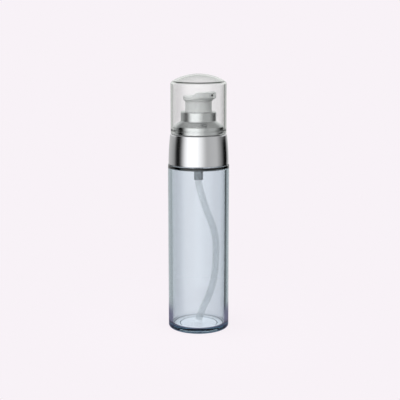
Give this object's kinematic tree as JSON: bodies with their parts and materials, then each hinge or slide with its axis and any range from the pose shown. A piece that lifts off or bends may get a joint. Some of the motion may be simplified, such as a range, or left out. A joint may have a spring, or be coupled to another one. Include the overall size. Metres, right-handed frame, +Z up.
{
  "type": "pump bottle",
  "caption": "Round tinted bottle with a metal-clad screw closure, a push-button lotion pump with a side spout and curved dip tube, and a clear domed overcap.",
  "frame": {"origin": "centre of the bottle's foot, on the surface that it stands on", "axes": "+Z up along the bottle's axis, from the foot to the overcap; -Y towards the viewer of the picture, +X to the viewer's right"},
  "size_m": [0.038, 0.038, 0.1598],
  "materials": {
    "tinted_petg": "clear, smoke-blue tint, glossy",
    "clear_styrene": "clear, glossy",
    "polished_aluminium": "polished and silver anodised",
    "white_polypropylene": "moulded, satin",
    "button_polypropylene": "moulded, semi-gloss",
    "natural_polypropylene": "natural, milky",
    "soft_polyethylene": "soft, matt",
    "milky_polyethylene": "extruded, milky",
    "spring_steel": "drawn wire",
    "ball_steel": "polished"
  },
  "bodies": {
    "bottle": {"bottle": "tinted_petg"},
    "pump": {"pump_housing": "natural_polypropylene", "neck_gasket": "soft_polyethylene", "retainer": "white_polypropylene", "stem_seal": "soft_polyethylene", "ball_cage": "natural_polypropylene", "return_spring": "spring_steel", "dip_tube": "milky_polyethylene"},
    "closure": {"closure_core": "white_polypropylene", "collar_shell": "polished_aluminium", "shoulder_sleeve": "polished_aluminium", "sleeve_liner": "white_polypropylene"},
    "overcap": {"overcap": "clear_styrene"},
    "stem": {"stem": "white_polypropylene", "piston_rod": "white_polypropylene"},
    "button": {"actuator": "button_polypropylene", "nozzle_insert": "button_polypropylene"},
    "piston": {"piston": "soft_polyethylene"},
    "check_ball": {"check_ball": "ball_steel"}
  },
  "joints": [
    {"name": "pump_lift", "type": "slide", "parent": "bottle", "child": "pump", "axis": [0, 0, 1], "range_m": [0, 0.0048]},
    {"name": "closure_turn", "type": "hinge", "parent": "pump", "child": "closure", "pos_m": [0, 0, 0.1216], "axis": [0, 0, 1], "range_deg": [0, 540]},
    {"name": "overcap_pull", "type": "slide", "parent": "closure", "child": "overcap", "axis": [0, 0, 1], "range_m": [0, 0.04]},
    {"name": "actuator_press", "type": "slide", "parent": "pump", "child": "stem", "axis": [0, 0, -1], "range_m": [0, 0.0055], "stiffness_N_per_m": 500, "springref_m": -0.001, "deforming": ["return_spring"]},
    {"name": "actuator_turn", "type": "hinge", "parent": "stem", "child": "button", "pos_m": [0, 0, 0.1408], "axis": [0, 0, 1], "continuous": true},
    {"name": "piston_slip", "type": "slide", "parent": "stem", "child": "piston", "axis": [0, 0, 1], "range_m": [0, 0.0008]},
    {"name": "ball_lift", "type": "slide", "parent": "pump", "child": "check_ball", "axis": [0, 0, 1], "range_m": [0, 0.0008]}
  ],
  "couplings": [
    {"joint": "pump_lift", "follows": "closure_turn", "m_per_rad": 0.00050532}
  ]
}
